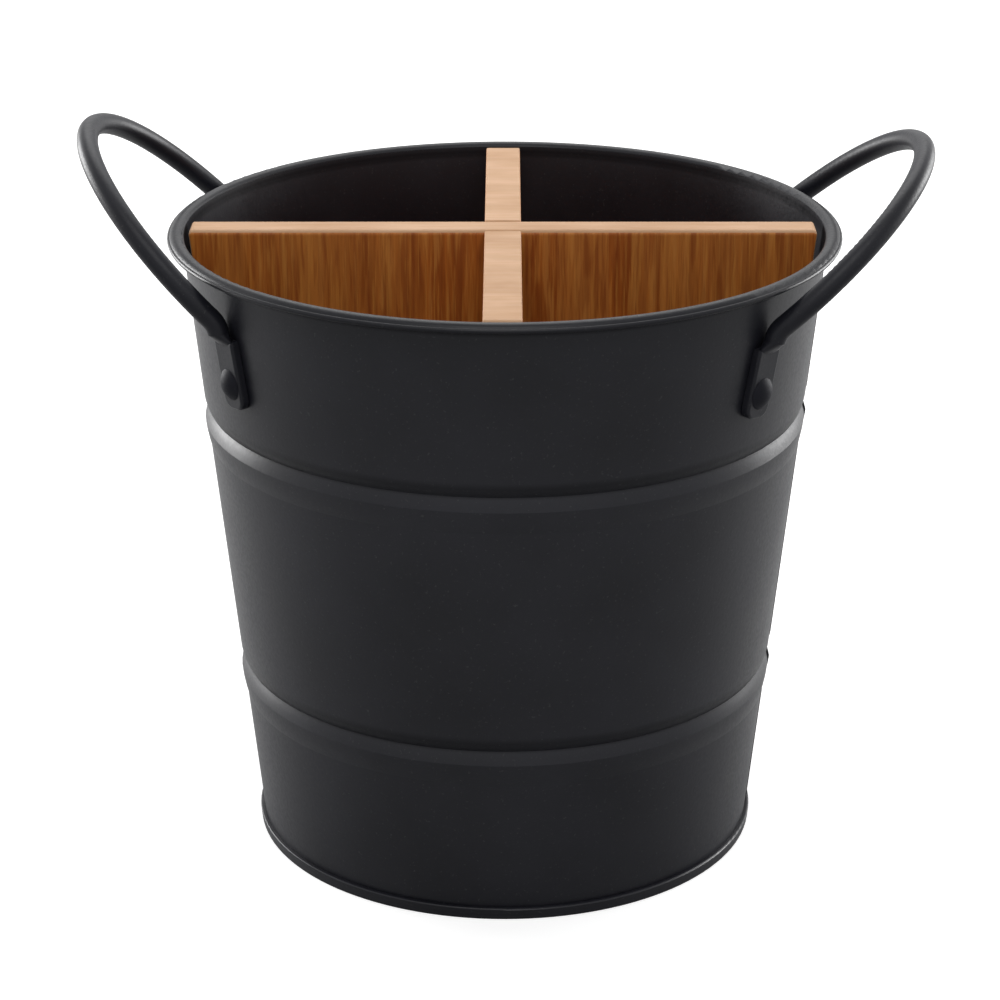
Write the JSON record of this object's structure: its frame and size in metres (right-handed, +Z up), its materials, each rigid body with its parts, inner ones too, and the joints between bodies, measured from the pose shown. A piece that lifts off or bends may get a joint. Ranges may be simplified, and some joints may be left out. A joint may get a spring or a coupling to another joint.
{
  "type": "utensil holder",
  "caption": "Tapered sheet-metal bucket for kitchen utensils, with riveted wire side handles and a lift-out crossed wooden divider.",
  "frame": {"origin": "centre of the foot's underside", "axes": "+Z up, handles to -X and +X, front towards -Y"},
  "size_m": [0.2016, 0.1606, 0.179],
  "materials": {
    "black_coat": "satin black powder coat over sheet steel and steel wire, faintly textured",
    "bamboo": "laminated bamboo board, vertical strips, smooth and lightly sealed"
  },
  "bodies": {
    "bucket": {"bucket_wall": "black_coat", "base_disc": "black_coat", "handle_left": "black_coat", "handle_right": "black_coat", "rivet_left_front": "black_coat", "rivet_left_back": "black_coat", "rivet_right_front": "black_coat", "rivet_right_back": "black_coat"},
    "front_back_board": {"divider_front_back": "bamboo"},
    "left_right_board": {"divider_left_right": "bamboo"}
  },
  "joints": [
    {"name": "divider_lift", "type": "slide", "parent": "bucket", "child": "front_back_board", "axis": [0, 0, 1], "range_m": [0, 0.155]},
    {"name": "board_unlap", "type": "slide", "parent": "front_back_board", "child": "left_right_board", "axis": [0, 0, 1], "range_m": [0, 0.155]}
  ]
}
